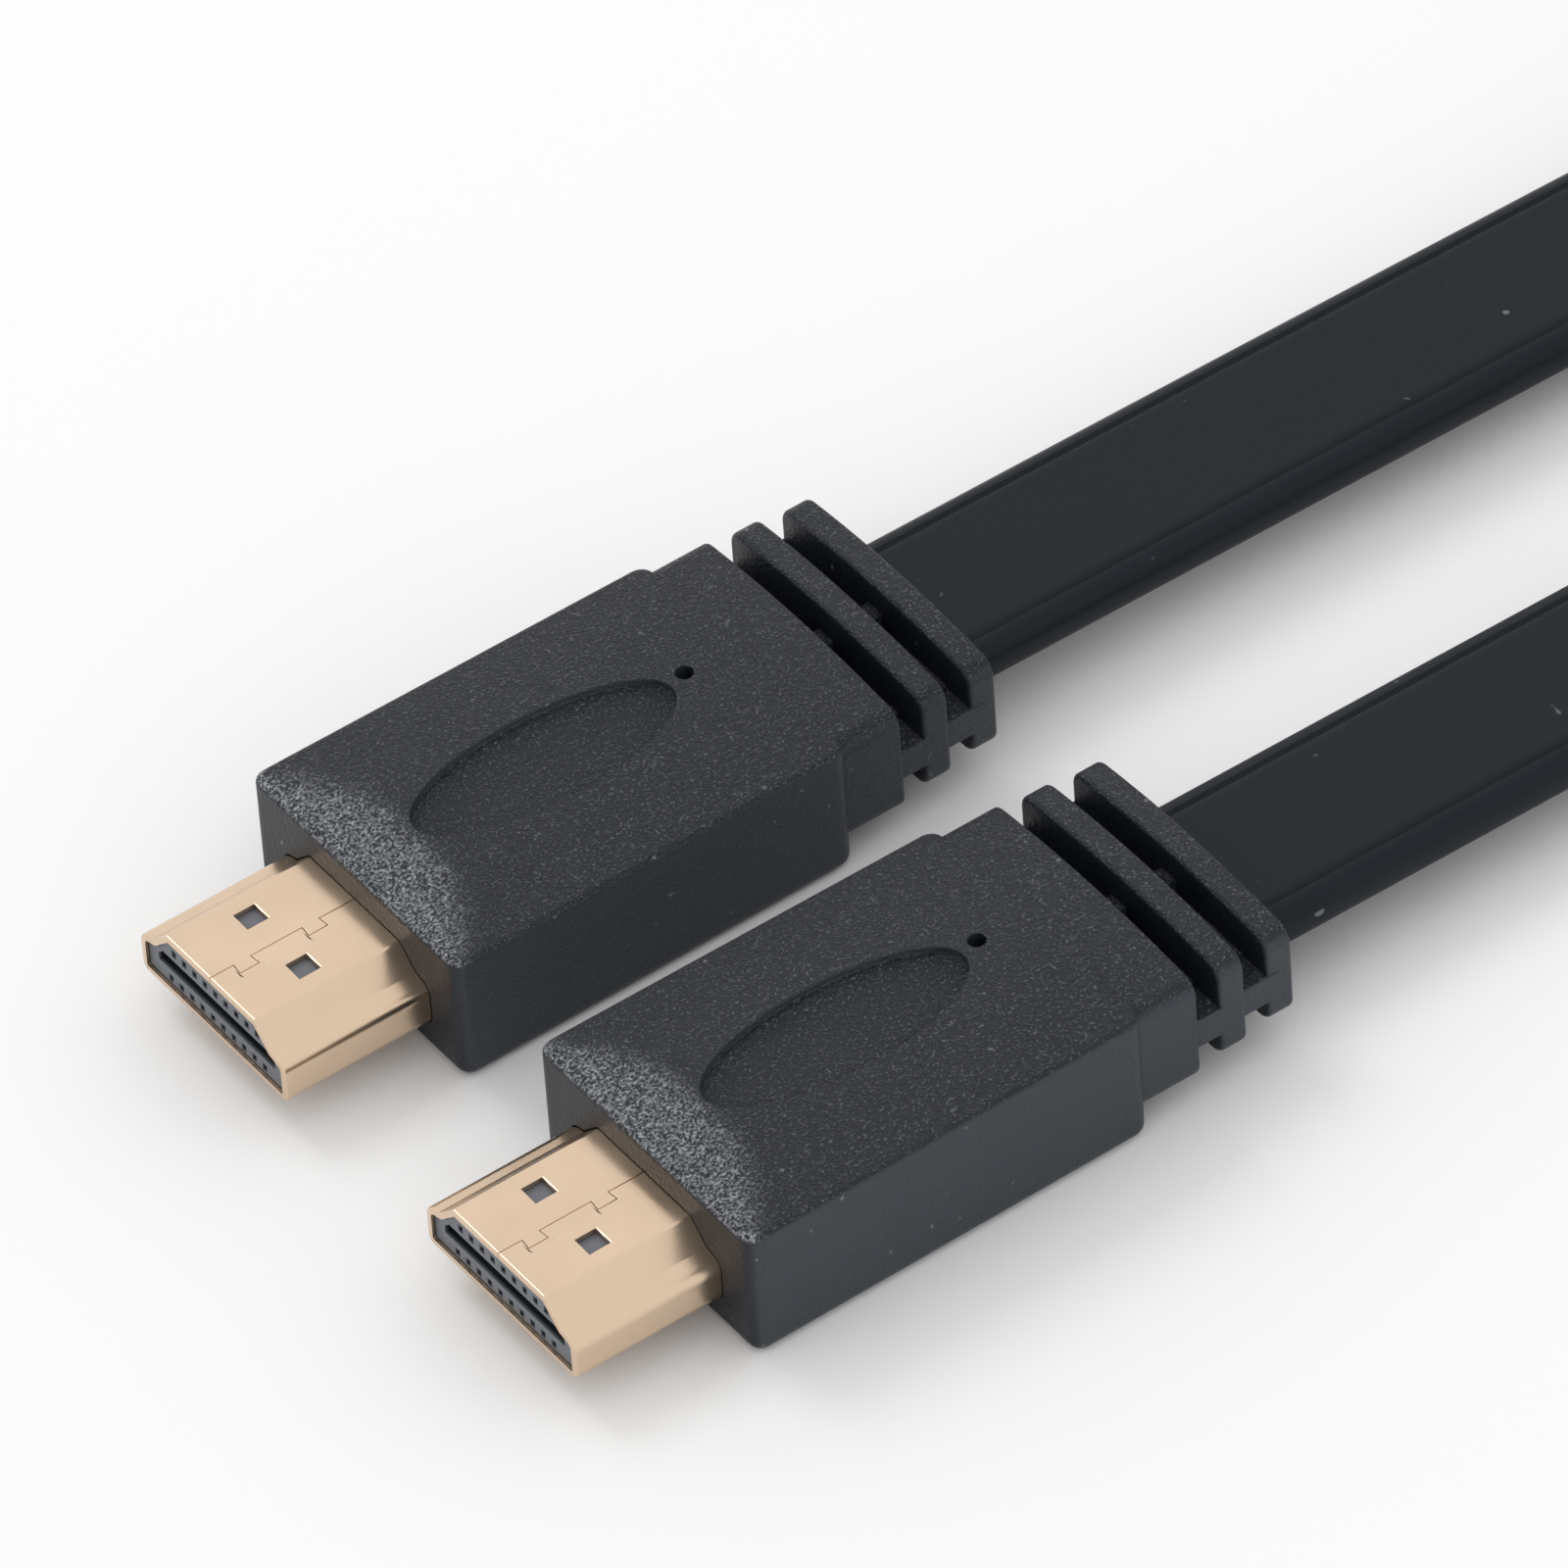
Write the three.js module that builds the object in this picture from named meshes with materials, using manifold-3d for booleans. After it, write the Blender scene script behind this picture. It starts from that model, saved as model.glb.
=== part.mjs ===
// A flat digital video cable: one ribbon-like lead with the same moulded plug on each of its ends.
// The two plugs lie side by side on the floor with their metal tips towards -X. Both ends of the lead
// run out towards +X, turn up onto their edge and are wound together into one flat round coil.
// Millimetres, +Z up. The origin is on the floor, midway between the two plugs.
import * as THREE from 'three';
import { mergeVertices } from 'three/addons/utils/BufferGeometryUtils.js';
import Module from 'manifold-3d';

const wasm = await Module();
wasm.setup();

// Metal shell of a plug. X runs from the tip towards the lead, Z from the shell's underside.
const SHELL_WIDTH = 13.9;
const SHELL_HEIGHT = 4.45;
const SHELL_REACH = 9.8; // how far the shell stands out of the moulded grip
const SHELL_BURIED = 3.2; // how far it goes on inside the grip
const SHEET = 0.35; // thickness of the folded sheet
const SHELL_SIDE_HEIGHT = 2.8; // top of the upright side walls
const SHELL_TOP_WIDTH = 8.6; // flat part of the narrow upper side
const SHELL_LEDGE = 1.25; // width of the step between side wall and slope
const SHELL_LEDGE_RISE = 0.1;
const SHELL_CORNER = 0.55;
const SHELL_FOOT_BEND = 0.25; // radius where the slope leaves the ledge
const SHELL_CREST_BEND = 0.35; // radius where the slope meets the upper side
const WINDOW = 1.42; // side of the square latch windows
const WINDOW_PITCH = 5;
const WINDOW_X = 4.55; // from the tip to the windows' centre
const SEAM = 0.1; // width of the slit where the sheet's ends meet
const LOCK_X = [2.2, 6.83]; // centres of the two dovetail locks along the seam
const LOCK_LENGTH = 1.15;
const LOCK_REACH = 0.75;
const LOCK_FLARE = 0.08;

// Plastic insert inside the shell, with the slot for the socket's tongue.
const INSERT_SET_BACK = 0.25;
const INSERT_CLEARANCE = 0.06;
const TONGUE_SLOT_WIDTH = 11.2;
const TONGUE_SLOT_HEIGHT = 0.95;
const TONGUE_SLOT_Z = 1.97; // middle of the slot
const TONGUE_SLOT_DEPTH = 8;
const TONGUE_SLOT_CHAMFER = 0.45;

// Contacts: one row above the tongue slot and one below it, half a pitch apart.
const CONTACT_PITCH = 1;
const ROWS = [
  { name: 'lower', count: 10, z: 0.8 },
  { name: 'upper', count: 9, z: 3.0 },
];
const CONTACT_HOLE_WIDTH = 0.42;
const CONTACT_HOLE_HEIGHT = 0.5;
const CONTACT_HOLE_DEPTH = 7;
const CONTACT_WIDTH = 0.3;
const CONTACT_THICKNESS = 0.16;
const CONTACT_SET_BACK = 0.9; // from the insert's face to the contact's end
const CONTACT_CLEARANCE = 0.05;

// Moulded grip over the shell's rear end.
const GRIP_LENGTH = 26.95;
const GRIP_WIDTH = 19.8;
const GRIP_HEIGHT = 9.5; // at the crown of its top
const GRIP_BELOW_SHELL = 2.35;
const GRIP_CROWN = 0.65; // the top's rise from its long edges to its middle
const GRIP_EDGE = 0.9; // rounding of the lower and upright edges
const RAMP_LENGTH = 4.2; // the top's slope down to the front edge
const RAMP_DROP = 0.7;
const POCKET_CLEARANCE = 0.08; // around the shell where it enters the grip
const RECESS_LENGTH = 17.5; // shallow oval field on the top
const RECESS_WIDTH = 6.84;
const RECESS_DEPTH = 0.35;
const RECESS_X = 22.98; // its centre from the tip
const OVAL_SIDES = 40;
const HOLE_DIAMETER = 1.1; // small blind hole behind the oval
const HOLE_DEPTH = 2.2;
const HOLE_X = 32.98;
const HOLE_Y = 0.56;
const HOLE_SIDES = 16;

// Strain relief: a collar and two ribs on a thin neck, moulded in one with the grip.
const COLLAR_LENGTH = 3.85;
const RIB_LENGTH = 1.8;
const RIB_GAP = 1.6;
const RIBS = 2;
const COLLAR_WIDTH = 18.6;
const COLLAR_BOTTOM = 1.65; // above the floor
const COLLAR_TOP = 9.4; // at the crown
const COLLAR_CROWN = 0.55;
const RIB_NARROWING = 0.4; // each step of the row is this much narrower
const RIB_LIFT = 0.3; // its underside is this much higher
const RIB_SINK = 0.2; // and its top this much lower
const RIB_CORNER = 1.1;
const NECK_WIDTH = 18;
const NECK_THICKNESS = 2.1;
const CORE_WIDTH = 13.4; // thicker middle of the neck, around the lead
const CORE_THICKNESS = 2.8;
const BRIDGE_WIDTH = 1.35; // web along the middle, between the ribs' upper halves
const BRIDGE_SINK = 1.85; // below the last rib's top

// The lead.
const LEAD_WIDTH = 12;
const LEAD_THICKNESS = 2.8;
const LEAD_CORNER = 1.05;
const LEAD_ARC_STEPS = 2;
const LEAD_HEIGHT = 4.75; // its middle above the floor where it leaves a plug
const JOINT_GAP = 0.3; // between lead and plug, and between lead and coil
const PLUG_SPACING = 27.3; // across, from plug to plug

// The coil: both ends of the lead wound side by side, each turn on edge.
const COIL_CENTRE = [163, -44.7];
const TURN_PITCH = 4.5;
const CENTRE_BEND = 11.1; // radius of the two half circles in the middle
const COIL_TURNS = 2.75; // of the outer of the two strands
const COIL_SIDES = 56;

const FINISHES = {
  shell: { color: 0xcdb896, roughness: 0.3, metalness: 1 },
  insert: { color: 0x6f7884, roughness: 0.55, metalness: 0 },
  contact: { color: 0xd6b36a, roughness: 0.3, metalness: 1 },
  grip: { color: 0x34373b, roughness: 0.7, metalness: 0 },
  lead: { color: 0x2f3236, roughness: 0.5, metalness: 0 },
};

const GRIP_X = SHELL_REACH;
const GRIP_REAR = GRIP_X + GRIP_LENGTH;
const RIB_STEP = RIB_LENGTH + RIB_GAP;
const COLLAR_REAR = GRIP_REAR + COLLAR_LENGTH;
const PLUG_LENGTH = COLLAR_REAR + RIBS * RIB_STEP;
const OVERLAP = 0.5; // pieces of one moulding reach this far into each other before they are joined

// A closed outline from corners [across, up, radius]; each round corner becomes a short arc.
function outline(corners, arcSteps = 3) {
  const points = [];
  corners.forEach(([x, y, radius = 0], i) => {
    const corner = new THREE.Vector2(x, y);
    if (radius <= 0) {
      points.push(corner);
      return;
    }
    const [before, after] = [corners.at(i - 1), corners[(i + 1) % corners.length]].map(
      ([a, b]) => new THREE.Vector2(a, b).sub(corner).normalize(),
    );
    const half = Math.acos(THREE.MathUtils.clamp(before.dot(after), -1, 1)) / 2;
    const start = corner.clone().addScaledVector(before, radius / Math.tan(half));
    const middle = before.clone().add(after).normalize();
    const centre = corner.clone().addScaledVector(middle, radius / Math.sin(half));
    const from = start.clone().sub(centre);
    const turn = Math.PI - 2 * half;
    const sign = Math.sign(before.clone().negate().cross(after));
    for (let k = 0; k <= arcSteps; k += 1) {
      const point = from.clone().rotateAround(new THREE.Vector2(), (sign * turn * k) / arcSteps);
      points.push(point.add(centre));
    }
  });
  return points;
}

// The same corners moved inwards by a distance; outwards where it is negative.
function inset(corners, distance) {
  const edges = corners.map(([x, y], i) => {
    const [u, v] = corners[(i + 1) % corners.length];
    const along = new THREE.Vector2(u - x, v - y).normalize();
    const start = new THREE.Vector2(x - along.y * distance, y + along.x * distance);
    return { start, along };
  });
  return corners.map(([, , radius = 0], i) => {
    const [p, q] = [edges.at(i - 1), edges[i]];
    const turn = p.along.cross(q.along);
    const reach = q.start.clone().sub(p.start).cross(q.along) / turn;
    const point = p.start.clone().addScaledVector(p.along, reach);
    return [point.x, point.y, Math.max(radius - Math.sign(turn) * distance, 0.05)];
  });
}

// Turns a geometry into a solid for joining and cutting, and back.
function solid(geometry) {
  const bare = geometry.clone();
  bare.deleteAttribute('normal');
  bare.deleteAttribute('uv');
  const merged = mergeVertices(bare, 1e-5);
  return new wasm.Manifold(
    new wasm.Mesh({
      numProp: 3,
      vertProperties: new Float32Array(merged.attributes.position.array),
      triVerts: new Uint32Array(merged.index.array),
    }),
  );
}

function geometryOf(body) {
  const mesh = body.getMesh();
  const geometry = new THREE.BufferGeometry();
  geometry.setAttribute('position', new THREE.BufferAttribute(mesh.vertProperties, 3));
  geometry.setIndex(new THREE.BufferAttribute(mesh.triVerts, 1));
  return geometry;
}

function extrude(points, from, to) {
  const settings = { depth: to - from, bevelEnabled: false, steps: 1 };
  return new THREE.ExtrudeGeometry(new THREE.Shape(points), settings).translate(0, 0, from);
}

// Outline across and up, drawn out along X.
function alongX(points, from, to) {
  const axes = new THREE.Matrix4().makeBasis(
    new THREE.Vector3(0, 1, 0),
    new THREE.Vector3(0, 0, 1),
    new THREE.Vector3(1, 0, 0),
  );
  return solid(extrude(points, from, to).applyMatrix4(axes));
}

// Outline along X and up, drawn out across.
function alongY(points, from, to) {
  const axes = new THREE.Matrix4().makeRotationX(Math.PI / 2);
  return solid(extrude(points, -to, -from).applyMatrix4(axes));
}

// Outline in plan, drawn out upwards.
function alongZ(points, from, to) {
  return solid(extrude(points, from, to));
}

function block(x0, x1, y0, y1, z0, z1) {
  const box = new THREE.BoxGeometry(x1 - x0, y1 - y0, z1 - z0);
  return solid(box.translate((x0 + x1) / 2, (y0 + y1) / 2, (z0 + z1) / 2));
}

// Corners of the shell's section: a wide lower part, a ledge and a sloped narrower upper part.
function shellCorners() {
  const side = SHELL_WIDTH / 2;
  const foot = side - SHELL_LEDGE;
  const top = SHELL_TOP_WIDTH / 2;
  const half = [
    [side, 0, SHELL_CORNER],
    [side, SHELL_SIDE_HEIGHT, SHELL_CORNER],
    [foot, SHELL_SIDE_HEIGHT + SHELL_LEDGE_RISE, SHELL_FOOT_BEND],
    [top, SHELL_HEIGHT, SHELL_CREST_BEND],
  ];
  return [...half, ...half.map(([y, z, r]) => [-y, z, r]).reverse()];
}

// Outline of a narrow band that follows a broken line, with mitred bends.
function band(path, width) {
  const points = path.map(([x, y]) => new THREE.Vector2(x, y));
  const sideways = points.slice(1).map((point, i) => {
    const along = point.clone().sub(points[i]).normalize();
    return new THREE.Vector2(-along.y, along.x);
  });
  const offset = points.map((point, i) => {
    const before = sideways[Math.max(i - 1, 0)];
    const after = sideways[Math.min(i, sideways.length - 1)];
    const mitre = before.clone().add(after);
    return mitre.multiplyScalar(width / 2 / (1 + before.dot(after)));
  });
  const right = points.map((point, i) => point.clone().sub(offset[i]));
  const left = points.map((point, i) => point.clone().add(offset[i]));
  return [...right, ...left.reverse()];
}

// Slit between the sheet's two ends: straight, with a dovetail tongue at each lock.
function seamOutline() {
  const path = [[-OVERLAP, 0]];
  for (const x of LOCK_X) {
    const half = LOCK_LENGTH / 2;
    path.push([x - half, 0], [x - half - LOCK_FLARE, -LOCK_REACH]);
    path.push([x + half + LOCK_FLARE, -LOCK_REACH], [x + half, 0]);
  }
  path.push([GRIP_X + SHELL_BURIED + OVERLAP, 0]);
  return band(path, SEAM);
}

function makeShell() {
  const end = GRIP_X + SHELL_BURIED;
  const corners = shellCorners();
  let body = alongX(outline(corners), 0, end);
  body = body.subtract(alongX(outline(inset(corners, SHEET)), -OVERLAP, end + OVERLAP));
  for (const y of [-WINDOW_PITCH / 2, WINDOW_PITCH / 2]) {
    const half = WINDOW / 2;
    const low = SHELL_HEIGHT - 2 * SHEET;
    const high = SHELL_HEIGHT + OVERLAP;
    body = body.subtract(block(WINDOW_X - half, WINDOW_X + half, y - half, y + half, low, high));
  }
  const roof = SHELL_HEIGHT - 2 * SHEET;
  return body.subtract(alongZ(seamOutline(), roof, SHELL_HEIGHT + OVERLAP));
}

const contactY = (row, i) => (i - (row.count - 1) / 2) * CONTACT_PITCH;

function makeInsert() {
  const front = INSERT_SET_BACK;
  const rear = GRIP_X + SHELL_BURIED;
  const around = SHEET + INSERT_CLEARANCE;
  let body = alongX(outline(inset(shellCorners(), around)), front, rear);
  const half = TONGUE_SLOT_WIDTH / 2;
  const low = TONGUE_SLOT_Z - TONGUE_SLOT_HEIGHT / 2;
  const high = TONGUE_SLOT_Z + TONGUE_SLOT_HEIGHT / 2;
  const slot = [
    [-half, low],
    [half, low],
    [half, high - TONGUE_SLOT_CHAMFER],
    [half - TONGUE_SLOT_CHAMFER, high],
    [TONGUE_SLOT_CHAMFER - half, high],
    [-half, high - TONGUE_SLOT_CHAMFER],
  ];
  body = body.subtract(alongX(outline(slot), front - OVERLAP, front + TONGUE_SLOT_DEPTH));
  for (const row of ROWS) {
    for (let i = 0; i < row.count; i += 1) {
      const y = contactY(row, i);
      const [w, h] = [CONTACT_HOLE_WIDTH / 2, CONTACT_HOLE_HEIGHT / 2];
      const deep = front + CONTACT_HOLE_DEPTH;
      body = body.subtract(block(front - OVERLAP, deep, y - w, y + w, row.z - h, row.z + h));
    }
  }
  return body;
}

// A contact blade lies on the outer wall of its hole, clear of the plastic by a hair.
function makeContact(row, i) {
  const y = contactY(row, i);
  const start = INSERT_SET_BACK + CONTACT_SET_BACK;
  const end = INSERT_SET_BACK + CONTACT_HOLE_DEPTH - CONTACT_CLEARANCE;
  const outward = Math.sign(row.z - TONGUE_SLOT_Z);
  const wall = row.z + outward * (CONTACT_HOLE_HEIGHT / 2 - CONTACT_CLEARANCE);
  const z = wall - (outward * CONTACT_THICKNESS) / 2;
  const blade = new THREE.BoxGeometry(end - start, CONTACT_WIDTH, CONTACT_THICKNESS);
  return blade.translate((start + end) / 2, y, z);
}

// Section with a flat underside and a top that rises from both sides to a crown.
const CROWN_STEPS = 12;
function crowned(width, low, high, crown, lowerCorner, upperCorner) {
  const half = width / 2;
  const corners = [[-half, low, lowerCorner], [half, low, lowerCorner]];
  for (let k = 0; k <= CROWN_STEPS; k += 1) {
    const share = 1 - (2 * k) / CROWN_STEPS;
    const atSide = k === 0 || k === CROWN_STEPS;
    corners.push([share * half, high - crown * share ** 2, atSide ? upperCorner : 0]);
  }
  return outline(corners);
}

// Grip: its cross-section, side view and plan, drawn out and cut to what all three share.
function makeGripBlock() {
  const half = GRIP_WIDTH / 2;
  const section = crowned(GRIP_WIDTH, 0, GRIP_HEIGHT, GRIP_CROWN, GRIP_EDGE, GRIP_EDGE / 2);
  const side = [
    [GRIP_X, 0, GRIP_EDGE],
    [GRIP_REAR, 0, GRIP_EDGE / 2],
    [GRIP_REAR, GRIP_HEIGHT],
    [GRIP_X + RAMP_LENGTH, GRIP_HEIGHT],
    [GRIP_X, GRIP_HEIGHT - RAMP_DROP, GRIP_EDGE / 3],
  ];
  const plan = [
    [GRIP_X, -half, GRIP_EDGE],
    [GRIP_REAR, -half, GRIP_EDGE / 2],
    [GRIP_REAR, half, GRIP_EDGE / 2],
    [GRIP_X, half, GRIP_EDGE],
  ];
  return alongX(section, GRIP_X, GRIP_REAR)
    .intersect(alongY(outline(side), -half, half))
    .intersect(alongZ(outline(plan), 0, GRIP_HEIGHT));
}

// Section of the collar (step 0) or of a rib, smaller with each step towards the lead.
function ribSection(step) {
  const width = COLLAR_WIDTH - step * RIB_NARROWING;
  const low = COLLAR_BOTTOM + step * RIB_LIFT;
  const high = COLLAR_TOP - step * RIB_SINK;
  return crowned(width, low, high, COLLAR_CROWN, RIB_CORNER, RIB_CORNER);
}

function makeStrainRelief() {
  let body = alongX(ribSection(0), GRIP_REAR - OVERLAP, COLLAR_REAR);
  for (let step = 1; step <= RIBS; step += 1) {
    const front = COLLAR_REAR + RIB_GAP + (step - 1) * RIB_STEP;
    body = body.add(alongX(ribSection(step), front, front + RIB_LENGTH));
  }
  const neckEnd = PLUG_LENGTH - RIB_LENGTH / 2;
  for (const [width, thickness] of [[NECK_WIDTH, NECK_THICKNESS], [CORE_WIDTH, CORE_THICKNESS]]) {
    const [across, up] = [width / 2, thickness / 2];
    const [low, high] = [LEAD_HEIGHT - up, LEAD_HEIGHT + up];
    body = body.add(block(COLLAR_REAR - OVERLAP, neckEnd, -across, across, low, high));
  }
  const web = COLLAR_TOP - RIBS * RIB_SINK - BRIDGE_SINK;
  const halfWeb = BRIDGE_WIDTH / 2;
  return body.add(block(COLLAR_REAR - OVERLAP, neckEnd, -halfWeb, halfWeb, LEAD_HEIGHT, web));
}

function makeGrip() {
  const oval = new THREE.EllipseCurve(RECESS_X, 0, RECESS_LENGTH / 2, RECESS_WIDTH / 2);
  const above = GRIP_HEIGHT + OVERLAP;
  const recess = alongZ(oval.getPoints(OVAL_SIDES).slice(1), GRIP_HEIGHT - RECESS_DEPTH, above);
  const bore = new THREE.EllipseCurve(HOLE_X, HOLE_Y, HOLE_DIAMETER / 2, HOLE_DIAMETER / 2);
  const hole = alongZ(bore.getPoints(HOLE_SIDES).slice(1), GRIP_HEIGHT - HOLE_DEPTH, above);
  const room = outline(inset(shellCorners(), -POCKET_CLEARANCE));
  const pocketEnd = GRIP_X + SHELL_BURIED + POCKET_CLEARANCE;
  const pocket = alongX(room, GRIP_X - OVERLAP, pocketEnd).translate([0, 0, GRIP_BELOW_SHELL]);
  return makeGripBlock().add(makeStrainRelief()).subtract(recess).subtract(hole).subtract(pocket);
}

// Route of each free end of the lead: x, y, z of its middle and its roll in degrees, from the plug's
// rear face to the coil. The first points lie flat, then the ribbon rolls onto its edge.
const HALF_SPACING = PLUG_SPACING / 2;
const FAR_ROUTE = [
  [24, HALF_SPACING, LEAD_HEIGHT, 0],
  [40, HALF_SPACING, 4.5, 0],
  [56, HALF_SPACING, 4.22, 0],
  [72, 13.6, 3.95, 0],
  [84, 13.3, 3.85, 3],
  [95, 12.5, 4.35, 20],
  [105, 11.2, 5.35, 42],
  [115, 9.4, 6.05, 64],
  [125, 7.3, 6.1, 82],
  [134, 5.4, 6.05, 90],
  [143, 3.95, 6.03, 90],
  [152, 2.98, 6.03, 90],
  [158, 2.56, 6.03, 90],
];
const NEAR_ROUTE = [
  [24, -HALF_SPACING, LEAD_HEIGHT, 0],
  [40, -HALF_SPACING, 4.5, 0],
  [56, -HALF_SPACING, 4.22, 0],
  [70, -13.6, 3.95, 0],
  [81, -13.2, 3.9, -4],
  [91, -12.2, 4.5, -24],
  [101, -10.5, 5.5, -47],
  [111, -8.3, 6.08, -68],
  [121, -5.9, 6.1, -84],
  [130, -3.8, 6.05, -90],
  [137, -2.4, 6.03, -90],
  [144, -1.35, 6.03, -90],
];
const RUN_STEPS = 30;

// The lead's section is carried along the route; roll turns it about the route's own direction.
function makeRun(route) {
  const curve = new THREE.CatmullRomCurve3(route.map(([x, y, z]) => new THREE.Vector3(x, y, z)));
  const [w, h] = [LEAD_WIDTH / 2, LEAD_THICKNESS / 2];
  const section = outline(
    [
      [-w, -h, LEAD_CORNER],
      [w, -h, LEAD_CORNER],
      [w, h, LEAD_CORNER],
      [-w, h, LEAD_CORNER],
    ],
    LEAD_ARC_STEPS,
  );
  const settings = { depth: 1, bevelEnabled: false, steps: RUN_STEPS };
  const geometry = new THREE.ExtrudeGeometry(new THREE.Shape(section), settings);
  const place = geometry.attributes.position;
  const up = new THREE.Vector3(0, 0, 1);
  for (let i = 0; i < place.count; i += 1) {
    const t = THREE.MathUtils.clamp(place.getZ(i), 0, 1);
    const index = Math.min(Math.floor(t * (route.length - 1)), route.length - 2);
    const part = t * (route.length - 1) - index;
    const degrees = THREE.MathUtils.lerp(route[index][3], route[index + 1][3], part);
    const along = curve.getTangent(t);
    const side = new THREE.Vector3().crossVectors(up, along).normalize();
    const over = new THREE.Vector3().crossVectors(along, side);
    const roll = THREE.MathUtils.degToRad(degrees);
    const across = side.clone().multiplyScalar(Math.cos(roll)).addScaledVector(over, Math.sin(roll));
    const above = new THREE.Vector3().crossVectors(along, across);
    const point = curve.getPoint(t);
    point.addScaledVector(across, place.getX(i)).addScaledVector(above, place.getY(i));
    place.setXYZ(i, point.x, point.y, point.z);
  }
  return solid(geometry);
}

// Outer shape of the coil: a flat disc as high as the lead is wide, with rounded rims. A spiral is
// fullest where its ends leave it, so the disc's middle lies towards there from the spiral's own.
const COIL_RADIUS = 2 * CENTRE_BEND + 2 * TURN_PITCH * COIL_TURNS + (LEAD_THICKNESS - TURN_PITCH) / 2;
const COIL_FLOOR = 0.02; // its underside above the floor
function makeCoil(grown) {
  const radius = COIL_RADIUS + grown;
  const low = COIL_FLOOR - grown;
  const high = COIL_FLOOR + LEAD_WIDTH + grown;
  const rim = LEAD_CORNER / 2;
  const profile = [
    new THREE.Vector2(0, low),
    new THREE.Vector2(radius - rim, low),
    new THREE.Vector2(radius, low + rim),
    new THREE.Vector2(radius, high - rim),
    new THREE.Vector2(radius - rim, high),
    new THREE.Vector2(0, high),
  ];
  const disc = new THREE.LatheGeometry(profile, COIL_SIDES).rotateX(Math.PI / 2);
  return disc.translate(COIL_CENTRE[0] + TURN_PITCH / 2, COIL_CENTRE[1] + TURN_PITCH / 2, 0);
}

const model = new THREE.Group();

function addPiece(parent, name, geometry, finish) {
  const mesh = new THREE.Mesh(geometry, new THREE.MeshStandardMaterial(FINISHES[finish]));
  mesh.name = name;
  parent.add(mesh);
}

function addPlug(letter, y) {
  const plug = new THREE.Group();
  plug.position.set(-PLUG_LENGTH / 2, y, 0);
  const core = new THREE.Group();
  core.position.z = GRIP_BELOW_SHELL;
  plug.add(core);
  addPiece(core, `plug_${letter}_shell`, geometryOf(makeShell()), 'shell');
  addPiece(core, `plug_${letter}_insert`, geometryOf(makeInsert()), 'insert');
  for (const row of ROWS) {
    for (let i = 0; i < row.count; i += 1) {
      const name = `plug_${letter}_contact_${row.name}_${i + 1}`;
      addPiece(core, name, makeContact(row, i), 'contact');
    }
  }
  addPiece(plug, `plug_${letter}_grip`, geometryOf(makeGrip()), 'grip');
  model.add(plug);
}

addPlug('a', HALF_SPACING);
addPlug('b', -HALF_SPACING);

const clearOfCoil = solid(makeCoil(JOINT_GAP));
const clearOfPlugs = block(0, PLUG_LENGTH / 2 + JOINT_GAP, -PLUG_SPACING, PLUG_SPACING, 0, GRIP_HEIGHT);
for (const [letter, route] of [['a', FAR_ROUTE], ['b', NEAR_ROUTE]]) {
  const run = makeRun(route).subtract(clearOfCoil).subtract(clearOfPlugs);
  addPiece(model, `lead_run_${letter}`, geometryOf(run), 'lead');
}
addPiece(model, 'lead_coil', makeCoil(0), 'lead');

export default model;
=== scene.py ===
"""Looks of a flat digital video cable: camera, lead, plugs, materials, floor and light.

Lengths are in millimetres until a mesh is made. Each plug is worked out in its own frame, with X from
the tip of its metal shell towards the lead, Y across and Z up from the floor, and is then set in place.
"""

import math

import bpy
import numpy as np
from mathutils import Matrix, Vector


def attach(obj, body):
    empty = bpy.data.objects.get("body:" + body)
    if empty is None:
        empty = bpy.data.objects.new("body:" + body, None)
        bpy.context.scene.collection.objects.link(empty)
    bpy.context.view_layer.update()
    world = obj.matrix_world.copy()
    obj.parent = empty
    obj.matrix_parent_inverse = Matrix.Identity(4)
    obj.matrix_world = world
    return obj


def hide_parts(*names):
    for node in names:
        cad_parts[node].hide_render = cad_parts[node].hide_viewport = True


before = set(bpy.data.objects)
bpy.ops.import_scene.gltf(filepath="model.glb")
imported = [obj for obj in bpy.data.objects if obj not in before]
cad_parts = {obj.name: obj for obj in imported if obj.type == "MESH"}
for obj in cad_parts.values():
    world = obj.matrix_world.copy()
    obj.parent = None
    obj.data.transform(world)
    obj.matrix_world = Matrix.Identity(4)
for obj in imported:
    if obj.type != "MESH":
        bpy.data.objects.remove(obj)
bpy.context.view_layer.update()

MM = 0.001

# Plugs in the shared frame: x of their tips, and how far each lies to its side
TIP_X = -23.7
PLUG_Y = 13.65

# Shell, Z from its underside
SHELL_Z = 2.35  # underside above the floor
SHELL_WIDTH = 13.9
SHELL_HEIGHT = 4.45
SHELL_LENGTH = 13.0
SHEET = 0.35
CREST_Y = 4.3
SLOPE_FOOT = (5.7, 3.1)
SHOULDER_Z = 2.75
CREST_BEND = 0.3
FOOT_BEND = 0.06
SHOULDER_BEND = 0.85
LOWER_BEND = 0.55
MOUTH = ((0.0, 0.08), (0.02, 0.03), (0.07, 0.0), (0.12, 0.0), (0.8, 0.0))  # x, drawn in by
SEAM_LIP = (0.022, 0.032, 0.05, 0.09)
SEAM_LIP_DROP = (0.028, 0.008)
WINDOW = 1.42
WINDOW_X = 4.55
WINDOW_Y = 2.5
WINDOW_LIP = (0.04, 0.10)
WINDOW_LIP_DROP = 0.035
LOCKS = (2.2, 6.83)  # x of each dovetail lock's middle
LOCK_HALF = 0.575
LOCK_REACH = 0.75
LOCK_FLARE = 0.08
BESIDE_LOCK = 0.45
POCKET = (8.0, 13.2, 0.08)  # start, end and clearance of the shell's pocket in the grip

# Insert
INSERT_FACE = TIP_X + 0.25
INSERT_SLOT_CEILING = 6.0

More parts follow.
